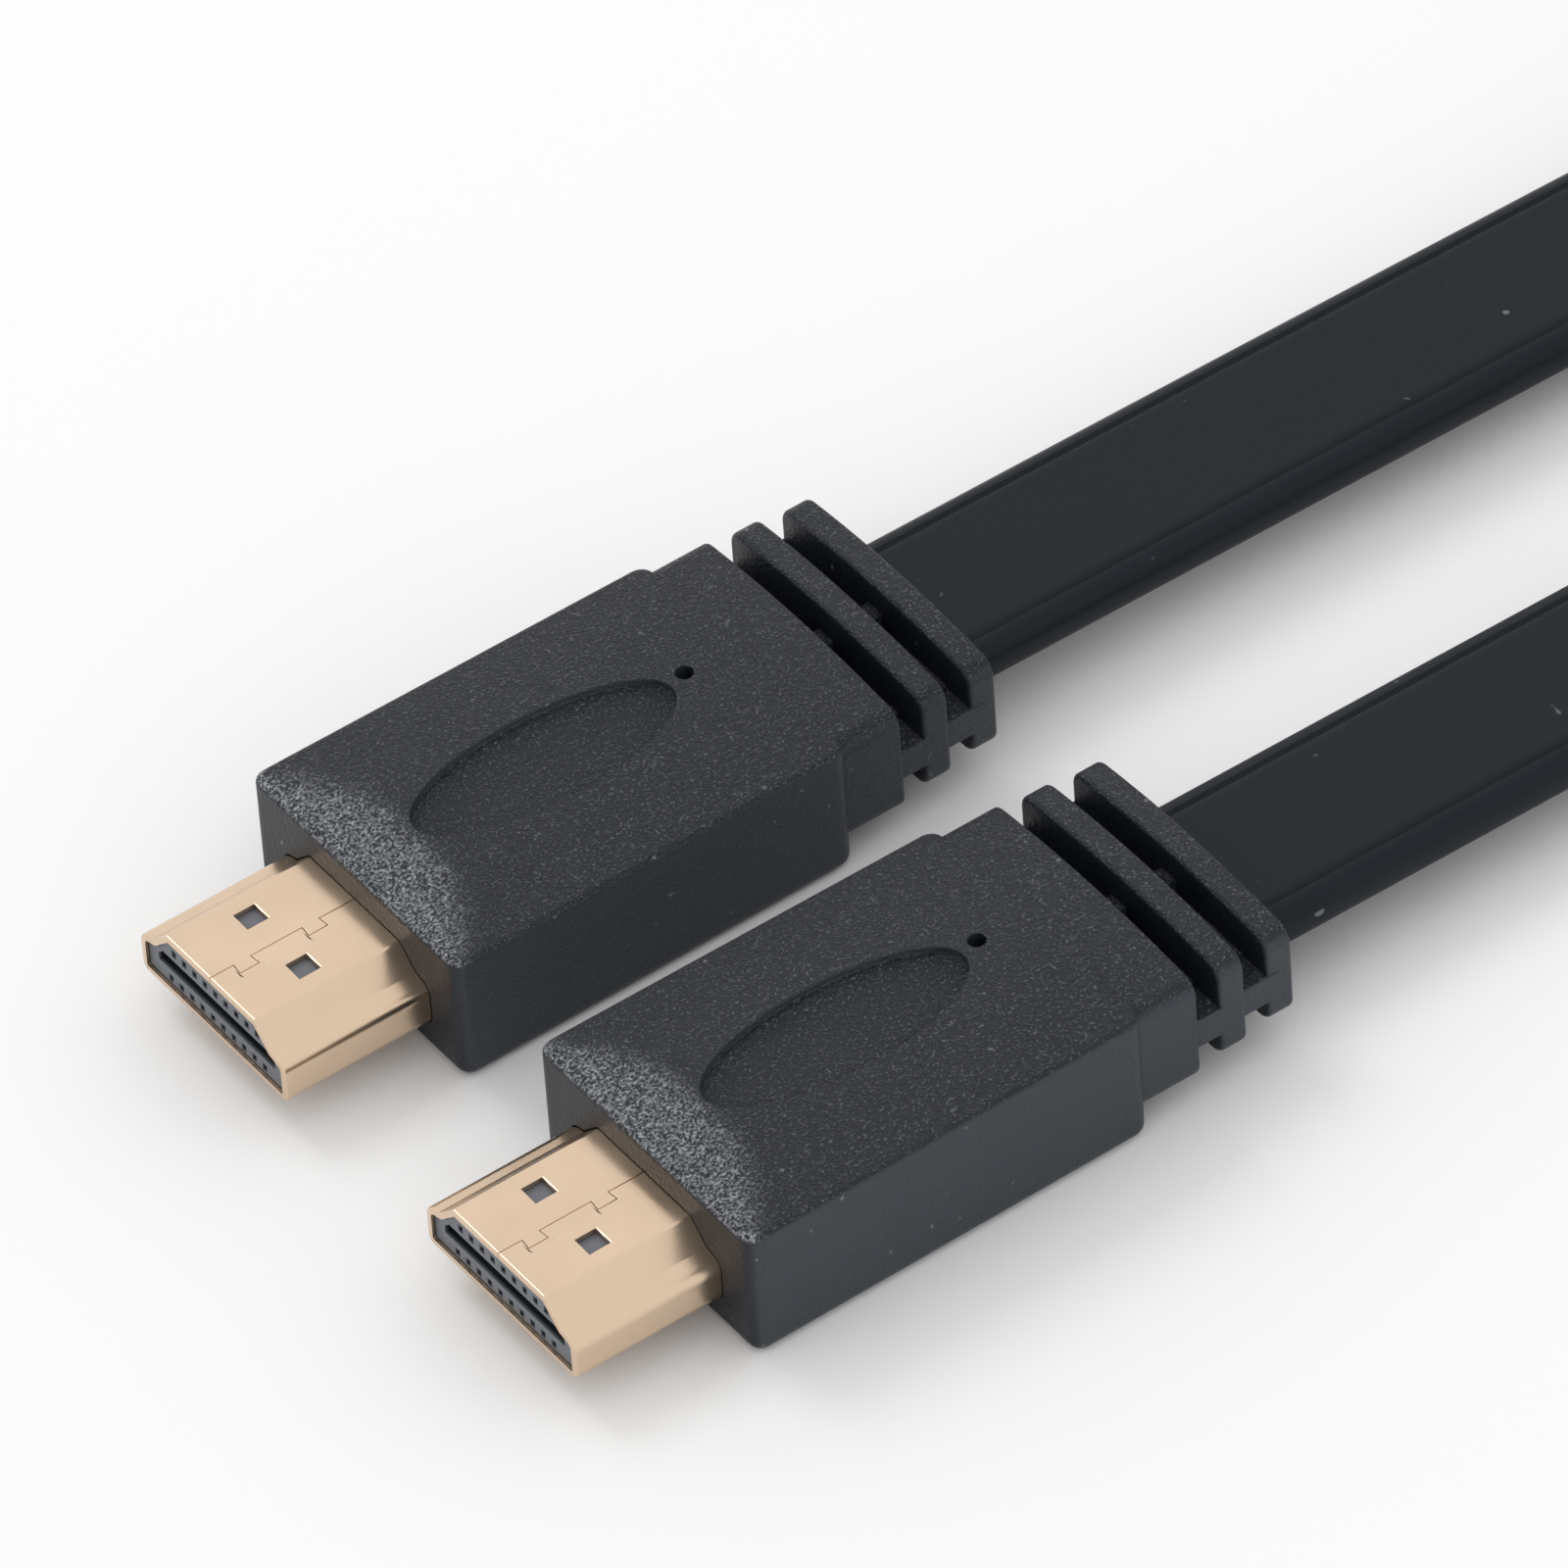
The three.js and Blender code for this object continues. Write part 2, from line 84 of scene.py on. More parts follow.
# Grip
GRIP_X = 9.8
GRIP_LENGTH = 26.95
GRIP_REAR = GRIP_X + GRIP_LENGTH
GRIP_WIDTH = 19.8
REAR_WIDTH = 19.4
GRIP_HEIGHT = 9.5
GRIP_CROWN = 0.65
GRIP_CORNER = 0.9
RAMP_LENGTH = 4.2
RAMP_DROP = 0.7
RAMP_SOFTNESS = 0.075
OVAL_CENTRE = np.array([22.98, 0.1])
OVAL_HALF = np.array([8.75, 3.42])
OVAL_DEPTH = 0.4
OVAL_WALL = ((-0.14, 1.0), (-0.08, 0.98), (-0.04, 0.85), (-0.015, 0.5), (0.01, 0.15), (0.04, 0.03),
             (0.08, 0.0), (0.14, 0.0))  # distance outside the oval, share of its depth
TOP_EDGE = 0.3
LOW_EDGE = 0.9
PIN_HOLE = (32.98, 0.56)
PIN_HOLE_RADIUS = 0.55
PIN_HOLE_BOTTOM = 7.0

# Strain relief: half width, underside and top of each part
COLLAR = (9.3, 1.65, 9.4)
COLLAR_REAR = 40.6
COLLAR_CROWN = 0.55
RIB_CHANGE = (-0.2, 0.3, -0.2)  # from the collar to the first rib, and on to the second
RIB_LENGTH = 1.8
RIB_STEP = 3.4
FIRST_RIB = 42.2
RIB_LOW_CORNER = 0.9
RIB_CORNER = 1.1
NECK_FRONT = (9.12, 3.7, 5.8)
NECK_REAR = (8.95, 3.9, 5.95)
CORE = (6.7, 3.35, 6.15)
WEB = (0.675, 4.75, 7.15)

# Lead: the route of each free end, x, y, z and roll in degrees, and the coil between them
LEAD_WIDTH = 12.0
LEAD_THICKNESS = 2.8
LEAD_CORNER = 1.2
LEAD_START = 0.8  # how far the jacket reaches into the last rib
FAR_ROUTE = np.array([
    [24, 13.65, 4.75, 0], [40, 13.65, 4.5, 0], [56, 13.65, 4.22, 0], [72, 13.6, 3.95, 0],
    [84, 13.3, 3.85, 3], [95, 12.5, 4.35, 20], [105, 11.2, 5.35, 42], [115, 9.4, 6.05, 64],
    [125, 7.3, 6.1, 82], [134, 5.4, 6.05, 90], [143, 3.95, 6.03, 90], [152, 2.98, 6.03, 90],
    [158, 2.56, 6.03, 90],
])
NEAR_ROUTE = np.array([
    [24, -13.65, 4.75, 0], [40, -13.65, 4.5, 0], [56, -13.65, 4.22, 0], [70, -13.6, 3.95, 0],
    [81, -13.2, 3.9, -4], [91, -12.2, 4.5, -24], [101, -10.5, 5.5, -47], [111, -8.3, 6.08, -68],
    [121, -5.9, 6.1, -84], [130, -3.8, 6.05, -90], [137, -2.4, 6.03, -90], [144, -1.35, 6.03, -90],
])
COIL_CENTRE = np.array([163.0, -44.7])
COIL_HEIGHT = 6.03
COIL_TURNS = 2.75
TURN_PITCH = 4.5
CENTRE_BEND = 11.1

# Camera: about 1.1 m away, looking down by 44 degrees from in front of the tips
CAMERA_LENS = 450.0
CAMERA_SENSOR = 36.0
CAMERA_PLACE = (-0.41626, -0.64601, 0.76609)
CAMERA_RIGHT = (0.8055, -0.5901, -0.0546)
CAMERA_UP = (0.4447, 0.5409, 0.7139)
CAMERA_BACK = (-0.3918, -0.5993, 0.6981)


def make_camera():
    """A long lens whose axes are the named ones, made exactly square to each other."""
    camera = bpy.data.cameras.new("camera")
    camera.lens, camera.sensor_width = CAMERA_LENS, CAMERA_SENSOR
    camera.clip_start, camera.clip_end = 0.05, 20.0
    holder = bpy.data.objects.new("camera", camera)
    bpy.context.scene.collection.objects.link(holder)
    left, _, right = np.linalg.svd(np.array([CAMERA_RIGHT, CAMERA_UP, CAMERA_BACK]))
    turn = Matrix((left @ right).T.tolist()).to_4x4()
    holder.matrix_world = Matrix.Translation(Vector(CAMERA_PLACE)) @ turn
    bpy.context.scene.camera = holder


make_camera()


# Meshes from grids of points
def mesh_object(name, points, faces, material, smooth_to=32.0):
    """An object from points in millimetres and rows of indices; creases sharper than smooth_to stay."""
    mesh = bpy.data.meshes.new(name)
    mesh.from_pydata((np.asarray(points) * MM).tolist(), [], faces)
    mesh.validate()
    mesh.update()
    mesh.polygons.foreach_set("use_smooth", np.ones(len(mesh.polygons), bool))
    mesh.set_sharp_from_angle(angle=math.radians(smooth_to))
    mesh.materials.append(material)
    piece = bpy.data.objects.new(name, mesh)
    bpy.context.scene.collection.objects.link(piece)
    return piece


def grid_faces(rows, columns, closed_across=False):
    """Quads between neighbouring rows of a grid whose points are numbered row by row."""
    i = np.arange(rows - 1)[:, None]
    j = np.arange(columns if closed_across else columns - 1)[None, :]
    k = (j + 1) % columns
    quads = np.stack([i * columns + j, i * columns + k, (i + 1) * columns + k, (i + 1) * columns + j], -1)
    return quads.reshape(-1, 4)


def closed_skin(rings):
    """Points and faces of a closed body from rings (rings, around, 3), each end closed by a flat face."""
    count, around, _ = rings.shape
    faces = grid_faces(count, around, True).tolist()
    faces.append(list(range(around))[::-1])
    faces.append(list(range((count - 1) * around, count * around)))
    return rings.reshape(-1, 3), faces


def arc(centre, radius, start, end, steps):
    """Points (steps + 1, 2) on a circle from one angle to another, in degrees."""
    angles = np.radians(np.linspace(start, end, steps + 1))
    return np.stack([centre[0] + radius * np.cos(angles), centre[1] + radius * np.sin(angles)], -1)


# Material helpers
def add(tree, kind, settings=None, **inputs):
    """A node of one kind with its settings and its input values; a socket given as a value is linked."""
    node = tree.nodes.new(kind)
    for key, value in (settings or {}).items():
        setattr(node, key, value)
    for key, value in inputs.items():
        socket = node.inputs[int(key[1:])] if key[0] == "n" and key[1:].isdigit() else node.inputs[key]
        if isinstance(value, bpy.types.NodeSocket):
            tree.links.new(value, socket)
        else:
            socket.default_value = value
    return node


def noise(tree, place, scale, detail=2.0, roughness=0.5):
    """A noise value from 0 to 1 with that many features to a metre."""
    node = add(tree, "ShaderNodeTexNoise", Vector=place, Scale=scale, Detail=detail, Roughness=roughness)
    return node.outputs[0]


def ranged(tree, value, low, high, to_low=0.0, to_high=1.0):
    """A value moved from one range to another and kept inside it."""
    node = add(tree, "ShaderNodeMapRange", {"clamp": True}, Value=value)
    node.inputs["From Min"].default_value, node.inputs["From Max"].default_value = low, high
    node.inputs["To Min"].default_value, node.inputs["To Max"].default_value = to_low, to_high
    return node.outputs[0]


def mixed(tree, share, first, second):
    """A colour between two colours."""
    return add(tree, "ShaderNodeMix", {"data_type": "RGBA"}, n0=share, n6=first, n7=second).outputs[2]


def times(tree, first, second):
    """One value times another."""
    return add(tree, "ShaderNodeMath", {"operation": "MULTIPLY"}, n0=first, n1=second).outputs[0]


def parts_of(tree, vector):
    """The x, y and z of a vector."""
    return add(tree, "ShaderNodeSeparateXYZ", Vector=vector).outputs


def new_material(name, **values):
    """A material with one surface shader; returns it, its tree, its shader and its object coordinates."""
    material = bpy.data.materials.new(name)
    material.use_nodes = True
    tree = material.node_tree
    tree.nodes.clear()
    shader = tree.nodes.new("ShaderNodeBsdfPrincipled")
    output = tree.nodes.new("ShaderNodeOutputMaterial")
    tree.links.new(shader.outputs["BSDF"], output.inputs["Surface"])
    for key, value in values.items():
        shader.inputs[key.replace("_", " ")].default_value = value
    place = tree.nodes.new("ShaderNodeTexCoord").outputs["Object"]
    return material, tree, shader, place


# Effects that several materials use, each a node group
def new_effect(name, inputs, outputs):
    """An empty node group with named inputs and outputs; returns it with its inner ends of both."""
    tree = bpy.data.node_groups.new(name, "ShaderNodeTree")
    for way, sockets in (("INPUT", inputs), ("OUTPUT", outputs)):
        for label, kind in sockets.items():
            tree.interface.new_socket(name=label, in_out=way, socket_type="NodeSocket" + kind)
    return tree, tree.nodes.new("NodeGroupInput").outputs, tree.nodes.new("NodeGroupOutput").inputs


def make_clouding():
    """Soft patches between two colours, and the noise that they follow."""
    inputs = {"Place": "Vector", "Scale": "Float", "Detail": "Float", "First": "Color", "Second": "Color"}
    tree, given, result = new_effect("clouding", inputs, {"Colour": "Color", "Cloud": "Float"})
    cloud = noise(tree, given["Place"], given["Scale"], given["Detail"])
    tree.links.new(mixed(tree, cloud, given["First"], given["Second"]), result["Colour"])
    tree.links.new(cloud, result["Cloud"])
    return tree


def make_dust():
    """A few specks of one colour over another, where a coarse noise comes near its top."""
    inputs = {"Place": "Vector", "Scale": "Float", "Amount": "Float", "Under": "Color", "Speck": "Color"}
    tree, given, result = new_effect("dust", inputs, {"Colour": "Color"})
    specks = ranged(tree, noise(tree, given["Place"], given["Scale"], 0.0), 0.84, 0.88)
    colour = mixed(tree, times(tree, specks, given["Amount"]), given["Under"], given["Speck"])
    tree.links.new(colour, result["Colour"])
    return tree


def make_satin_relief():
    """A normal that follows a fine noise, for a satin surface; its distance is in metres."""
    inputs = {"Place": "Vector", "Scale": "Float", "Strength": "Float", "Distance": "Float"}
    tree, given, result = new_effect("satin_relief", inputs, {"Normal": "Vector"})
    height = noise(tree, given["Place"], given["Scale"], 3.0)
    relief = add(tree, "ShaderNodeBump", Height=height, Strength=given["Strength"],
                 Distance=given["Distance"])
    tree.links.new(relief.outputs[0], result["Normal"])
    return tree


CLOUDING = make_clouding()
DUST = make_dust()
SATIN_RELIEF = make_satin_relief()


def placed(tree, effect, **inputs):
    """The outputs of an effect set in a material with its own values."""
    return add(tree, "ShaderNodeGroup", {"node_tree": effect}, **inputs).outputs


# Materials
def make_grip_plastic():
    """Charcoal plastic from a spark-eroded mould: fine grain with painted glints on the tops of its grain on
    upward faces, and a painted sparkle highlight where the top slopes down to the front; smoother sides
    whose lighter base colour is painted light; a few specks of dust."""
    material, tree, shader, place = new_material("grip_plastic", Roughness=0.5, Specular_IOR_Level=0.36)
    fine = noise(tree, place, 5600.0, 2.0, 0.6)
    coarse = noise(tree, place, 2500.0, 1.0)
    facing = parts_of(tree, add(tree, "ShaderNodeNewGeometry").outputs["Normal"])
    upward = ranged(tree, facing[2], 0.3, 0.9)
    height = add(tree, "ShaderNodeMath", {"operation": "ADD"}, n0=fine, n1=times(tree, coarse, 0.5))
    strength = ranged(tree, upward, 0.0, 1.0, 0.3, 1.0)
    relief = add(tree, "ShaderNodeBump", Height=height.outputs[0], Distance=0.00035, Strength=strength)
    tree.links.new(relief.outputs[0], shader.inputs["Normal"])

    patches = placed(tree, CLOUDING, Place=place, Scale=90.0, Detail=3.0,
                     First=(0.0065, 0.0090, 0.0138, 1), Second=(0.0085, 0.0115, 0.0172, 1))
    # painted light: faces turned sideways get a lighter base colour, standing in for the light that the
    # sides catch
    sideways = ranged(tree, times(tree, facing[1], facing[1]), 0.4, 0.8)
    colour = mixed(tree, sideways, patches["Colour"], (0.0260, 0.0320, 0.0410, 1))
    # painted glints: grain tops on upward faces get a lighter base colour in place of light catching them
    grain_glints = times(tree, ranged(tree, fine, 0.56, 0.73), upward)
    colour = mixed(tree, grain_glints, colour, (0.125, 0.131, 0.143, 1))
    # painted highlight: a bright sparkle where the top slopes down to the front, painted into the base
    # colour in place of light glinting off the ramp
    ramp_end = TIP_X + GRIP_X + RAMP_LENGTH
    front = ranged(tree, parts_of(tree, place)[0], (ramp_end + 0.9) * MM, (ramp_end - 0.3) * MM)
    sloping = times(tree, ranged(tree, facing[0], -0.005, -0.18), times(tree, front, upward))
    ramp_sparkle = times(tree, ranged(tree, fine, 0.42, 0.76), ranged(tree, coarse, 0.25, 0.65, 0.55, 1.0))
    colour = mixed(tree, times(tree, sloping, ramp_sparkle), colour, (0.56, 0.58, 0.61, 1))
    dusted = placed(tree, DUST, Place=place, Scale=1900.0, Amount=0.4, Under=colour,
                    Speck=(0.30, 0.31, 0.33, 1))
    tree.links.new(dusted["Colour"], shader.inputs["Base Color"])
    tree.links.new(ranged(tree, patches["Cloud"], 0.3, 0.7, 0.38, 0.46), shader.inputs["Roughness"])
    return material


def make_lead_jacket():
    """Satin charcoal jacket with soft patches and a few specks of dust."""
    material, tree, shader, place = new_material("lead_jacket", Roughness=0.42, Specular_IOR_Level=0.16)
    patches = placed(tree, CLOUDING, Place=place, Scale=140.0, Detail=3.0, First=(0.0060, 0.0085, 0.0130, 1),
                     Second=(0.0075, 0.0100, 0.0150, 1))
    dusted = placed(tree, DUST, Place=place, Scale=900.0, Amount=0.5, Under=patches["Colour"],
                    Speck=(0.25, 0.26, 0.28, 1))
    tree.links.new(dusted["Colour"], shader.inputs["Base Color"])
    tree.links.new(ranged(tree, patches["Cloud"], 0.3, 0.7, 0.38, 0.46), shader.inputs["Roughness"])
    relief = placed(tree, SATIN_RELIEF, Place=place, Scale=1500.0, Strength=0.25, Distance=0.00003)
    tree.links.new(relief["Normal"], shader.inputs["Normal"])
    return material


def make_gold():
    """Pale gold plating on the folded shell: satin and slightly clouded."""
    material, tree, shader, place = new_material("gold_shell", Metallic=1.0, Roughness=0.3)
    patches = placed(tree, CLOUDING, Place=place, Scale=260.0, Detail=3.0, First=(0.68, 0.515, 0.37, 1),
                     Second=(0.75, 0.575, 0.42, 1))
    tree.links.new(patches["Colour"], shader.inputs["Base Color"])
    tree.links.new(ranged(tree, patches["Cloud"], 0.3, 0.7, 0.20, 0.27), shader.inputs["Roughness"])
    relief = placed(tree, SATIN_RELIEF, Place=place, Scale=2600.0, Strength=0.12, Distance=0.00002)
    tree.links.new(relief["Normal"], shader.inputs["Normal"])
    return material


def make_insert_plastic():
    """Blue-grey glass-filled plastic of the insert, with painted shade inside its slot."""
    material, tree, shader, place = new_material("insert_plastic", Roughness=0.5)
    patches = placed(tree, CLOUDING, Place=place, Scale=3000.0, Detail=3.0, First=(0.11, 0.12, 0.14, 1),
                     Second=(0.15, 0.16, 0.18, 1))
    spot = parts_of(tree, place)
    behind_face = ranged(tree, spot[0], (INSERT_FACE + 0.03) * MM, (INSERT_FACE + 0.23) * MM)
    under_ceiling = ranged(tree, spot[2], (INSERT_SLOT_CEILING + 0.2) * MM, (INSERT_SLOT_CEILING - 0.2) * MM)
    # painted shade: the plastic inside the slot, behind the face and under its ceiling, is darkened to near
    # black
    slot_shade = times(tree, behind_face, under_ceiling)
    colour = mixed(tree, slot_shade, patches["Colour"], (0.010, 0.011, 0.013, 1))
    tree.links.new(colour, shader.inputs["Base Color"])
    relief = placed(tree, SATIN_RELIEF, Place=place, Scale=3000.0, Strength=0.2, Distance=0.00003)
    tree.links.new(relief["Normal"], shader.inputs["Normal"])
    return material


def make_contact_gold():
    """Bright gold of the contact blades."""
    material, tree, shader, place = new_material("contact_gold", Metallic=1.0, Roughness=0.28)
    patches = placed(tree, CLOUDING, Place=place, Scale=1500.0, Detail=2.0, First=(0.62, 0.42, 0.16, 1),
                     Second=(0.74, 0.52, 0.22, 1))
    tree.links.new(patches["Colour"], shader.inputs["Base Color"])
    return material


GRIP = make_grip_plastic()
JACKET = make_lead_jacket()
GOLD = make_gold()
INSERT = make_insert_plastic()
CONTACT = make_contact_gold()


# Lead
def through(points, samples):
    """Points on a smooth curve through all the given points, at whole and part indices (centripetal
    Catmull-Rom: each stretch is a cubic whose end slopes follow its neighbours, timed by the root of
    their distances)."""
    padded = np.concatenate([[2 * points[0] - points[1]], points, [2 * points[-1] - points[-2]]])
    index = np.minimum(np.floor(samples).astype(int), len(points) - 2)
    part = (samples - index)[:, None]
    p = [padded[index + k] for k in range(4)]
    gap = [np.linalg.norm(p[k + 1][:, :3] - p[k][:, :3], axis=1)[:, None] ** 0.5 for k in range(3)]
    first = ((p[1] - p[0]) / gap[0] - (p[2] - p[0]) / (gap[0] + gap[1]) + (p[2] - p[1]) / gap[1]) * gap[1]
    last = ((p[2] - p[1]) / gap[1] - (p[3] - p[1]) / (gap[1] + gap[2]) + (p[3] - p[2]) / gap[2]) * gap[1]
    square = -3 * p[1] + 3 * p[2] - 2 * first - last
    cube = 2 * p[1] - 2 * p[2] + first + last
    return p[1] + first * part + square * part**2 + cube * part**3


def coil_points():
    """Middle line of the coil from the outer strand's start to the inner strand's: a spiral inwards, two
    half circles through the centre and a spiral outwards, half a turn behind the first."""
    strands = []
    for turns, first in ((COIL_TURNS, 180.0), (COIL_TURNS - 0.5, 0.0)):
        turn = np.linspace(0, turns, int(turns * 20) + 1)
        angle = np.radians(first + 360 * turn)
        radius = 2 * CENTRE_BEND + 2 * TURN_PITCH * turn
        strands.append(np.stack([radius * np.cos(angle), radius * np.sin(angle)], -1))
    half = np.radians(np.linspace(180, 0, 9)[1:-1])
    left = np.stack([-CENTRE_BEND + CENTRE_BEND * np.cos(half), CENTRE_BEND * np.sin(half)], -1)
    right = np.stack([CENTRE_BEND + CENTRE_BEND * np.cos(half), -CENTRE_BEND * np.sin(half)], -1)
    flat = np.concatenate([strands[0][::-1], left, [[0.0, 0.0]], right, strands[1]]) + COIL_CENTRE
    height_and_roll = np.broadcast_to([COIL_HEIGHT, 90.0], flat.shape)
    return np.concatenate([flat, height_and_roll], 1)


def lead_line(step=1.6):
    """Middle line of the lead and its roll, at even steps from plug to plug. The near end is followed
    backwards, so its roll changes sign."""
    points = np.concatenate([FAR_ROUTE, coil_points(), NEAR_ROUTE[::-1] * [1, 1, 1, -1]])
    points[[0, -1], 0] -= LEAD_START
    fine = through(points, np.linspace(0, len(points) - 1, 16 * len(points)))
    travelled = np.concatenate([[0], np.cumsum(np.linalg.norm(np.diff(fine[:, :3], axis=0), axis=1))])
    even = np.linspace(0, travelled[-1], int(travelled[-1] / step))
    return np.stack([np.interp(even, travelled, fine[:, k]) for k in range(4)], -1)


def lead_profile():
    """Flat section with rounded corners, across and up, with a shallow groove beside each long edge: one
    quarter, mirrored across and then down."""
    half_thickness = LEAD_THICKNESS / 2
    inner = LEAD_WIDTH / 2 - LEAD_CORNER
    edge = arc((inner, half_thickness - LEAD_CORNER), LEAD_CORNER, 0, 90, 6)
    groove = np.array([[0.05, 0], [0.12, 0.10], [0.24, 0.14], [0.40, 0.05], [0.62, 0], [0.9, 0]])
    level = [[2.6, half_thickness], [0.0, half_thickness]]
    quarter = np.concatenate([edge, [inner, half_thickness] - groove, level])
    upper = np.concatenate([quarter, quarter[-2::-1] * [-1, 1]])
    return np.concatenate([upper, upper[::-1] * [1, -1]])


def make_lead():
    """The lead: its section is carried along the middle line. Across is the sideways direction turned
    about the line by the roll, and above is at right angles to both."""
    line = lead_line()
    centre = line[:, :3]
    along = np.gradient(centre, axis=0)
    along /= np.linalg.norm(along, axis=1)[:, None]
    side = np.cross([0.0, 0.0, 1.0], along)
    side /= np.linalg.norm(side, axis=1)[:, None]
    over = np.cross(along, side)
    roll = np.radians(line[:, 3])[:, None]
    across = side * np.cos(roll) + over * np.sin(roll)
    above = np.cross(along, across)
    profile = lead_profile()
    rings = centre[:, None] + across[:, None] * profile[None, :, :1] + above[:, None] * profile[None, :, 1:]
    points, faces = closed_skin(rings)
    piece = mesh_object("lead", points, faces, JACKET, 40.0)
    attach(piece, "root")
    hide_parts("lead_run_a", "lead_run_b", "lead_coil")


make_lead()


# Shell
def rounded_path(corners, steps=7, hold=0.04):
    """Points along a broken line whose inner corners, given as (y, z, radius), become arcs, with one more
    point on the straight just before and after each arc, so that the flats stay flat in shading."""
    stretches = [np.array([corners[0][:2]], float)]
    for before, here, after in zip(corners, corners[1:], corners[2:]):
        corner, radius = np.array(here[:2], float), here[2]
        back, on = np.array(before[:2]) - corner, np.array(after[:2]) - corner
        back, on = back / np.linalg.norm(back), on / np.linalg.norm(on)
        half = math.acos(float(np.clip(back @ on, -1, 1))) / 2
        reach = radius / math.tan(half)
        middle = corner + (back + on) / np.linalg.norm(back + on) * radius / math.sin(half)
        start, end = corner + back * reach - middle, corner + on * reach - middle
        turn = math.atan2(start[0] * end[1] - start[1] * end[0], float(start @ end))
        angles = turn * np.arange(steps + 1)[:, None] / steps
        bend = middle + np.cos(angles) * start + np.sin(angles) * [-start[1], start[0]]
        stretches += [[corner + back * (reach + hold)], bend, [corner + on * (reach + hold)]]
    stretches.append(np.array([corners[-1][:2]], float))
    return np.concatenate(stretches)


def shell_section(grown=0.0):
    """Right half of the shell's outer section, from the middle of its upper side to the middle of its
    underside, moved outwards by a distance: each straight stretch moves along its own normal."""
    side = SHELL_WIDTH / 2
    upper = [(0, SHELL_HEIGHT), (CREST_Y, SHELL_HEIGHT), SLOPE_FOOT]
    corners = np.array([*upper, (side, SHOULDER_Z), (side, 0), (0, 0)], float)
    bends = np.array([0, CREST_BEND, FOOT_BEND, SHOULDER_BEND, LOWER_BEND, 0])
    radii = np.maximum(bends + grown * np.array([0, 1, -1, 1, 1, 0]), 0.06)
    along = np.diff(corners, axis=0)
    along /= np.linalg.norm(along, axis=1)[:, None]
    normal = np.stack([-along[:, 1], along[:, 0]], -1)
    both = normal[:-1] + normal[1:]
    mitred = both * grown / (1 + np.sum(normal[:-1] * normal[1:], 1))[:, None]
    moved = corners + np.concatenate([normal[:1] * grown, mitred, normal[-1:] * grown])
    return rounded_path(np.column_stack([moved, radii]))


def shell_rows():
    """Rows along the shell: x at the seam, y of the seam, x elsewhere, and how far the row is drawn in."""
    def plain(*places):
        return [(x, 0.0, x, 0.0) for x in places]

    near, far = WINDOW_X - WINDOW / 2, WINDOW_X + WINDOW / 2
    beside, edge = WINDOW_LIP
    rows = [(x, 0.0, x, drawn) for x, drawn in MOUTH]
    for x in LOCKS:
        if x > WINDOW_X:
            rows += plain(near - edge, near - beside, near, far, far + beside, far + edge)
        rows += plain(x - LOCK_HALF - BESIDE_LOCK)
        rows += [(x - LOCK_HALF, 0.0, x - LOCK_HALF - 0.06, 0.0),
                 (x - LOCK_HALF - LOCK_FLARE, -LOCK_REACH, x - LOCK_HALF + 0.06, 0.0),
                 (x, -LOCK_REACH, x, 0.0),
                 (x + LOCK_HALF + LOCK_FLARE, -LOCK_REACH, x + LOCK_HALF - 0.06, 0.0),
                 (x + LOCK_HALF, 0.0, x + LOCK_HALF + 0.06, 0.0)]
        rows += plain(x + LOCK_HALF + BESIDE_LOCK)
    return np.array(rows + plain(9.0, 11.0, SHELL_LENGTH))


def shell_skin(rows, depth):
    """One skin of the folded sheet, (rows, around, 3), at a depth under its outer side: the section at
    each row along the shell, from one side of the seam round to the other. The first columns follow the
    seam at a fixed distance, mitred at its corners, with a rounded lip; the next ones follow it less and
    less, up to the windows, and fan out beside the flanks of the locks. The windows' edges are chamfered."""
    low, high = WINDOW_Y - WINDOW / 2, WINDOW_Y + WINDOW / 2
    beside, edge = WINDOW_LIP
    lip = np.array(SEAM_LIP)
    spare = (0.35, 0.8, 1.3)  # columns between the lip and the windows
    apart = np.concatenate([lip, spare, [low - edge, low - beside, low, high, high + beside, high + edge]])
    along = np.diff(rows[:, :2], axis=0)
    along /= np.linalg.norm(along, axis=1)[:, None]
    normal = np.stack([-along[:, 1], along[:, 0]], -1)
    before, after = normal[np.r_[0, : len(normal)]], normal[np.r_[: len(normal), len(normal) - 1]]
    mitre = (before + after) / (1 + np.sum(before * after, 1))[:, None]
    weight = np.clip(1 - (apart - 0.1) / (low - 0.2), 0, 1)
    weight[apart >= low - 0.11] = 0
    fan = {1: ([0.20, 0.20, 0.12], [0.10, 0.0, 0.0]), -1: ([0.16, 0.08, 0.0], [0.20, 0.26, 0.16])}
    sides = []
    for sign in (1, -1):
        x = rows[:, None, 2] + (rows[:, None, 0] - rows[:, None, 2]) * weight[None]
        y = sign * apart[None] + rows[:, None, 1] * weight[None]
        spread = np.where(rows[:, 1:2] < 0, fan[sign][0], fan[sign][1])
        x[:, len(lip) : len(lip) + len(spare)] += sign * np.round(mitre[:, :1]) * spread
        flat = np.stack([x, y], -1)
        flat[:, : len(lip)] = rows[:, None, :2] + sign * mitre[:, None] * lip[None, :, None]
        level = SHELL_HEIGHT - depth - np.repeat(rows[:, 3:], len(apart), 1)
        if depth == 0:
            level[:, : len(SEAM_LIP_DROP)] -= SEAM_LIP_DROP
            by_window = np.abs(x - WINDOW_X) < WINDOW / 2 + 0.005
            by_window &= np.abs(np.abs(y) - WINDOW_Y) < WINDOW / 2 + 0.005
            level -= WINDOW_LIP_DROP * by_window
        top = np.dstack([flat, level])
        section = np.array([shell_section(-depth - drawn)[1:] for drawn in rows[:, 3]])
        lengthwise = np.repeat(rows[:, 2:3], section.shape[1], 1)
        below = np.dstack([lengthwise, section[..., 0] * sign, section[..., 1]])
        sides.append(np.concatenate([top, below], 1))
    return np.concatenate([sides[0], sides[1][:, -2::-1]], 1)


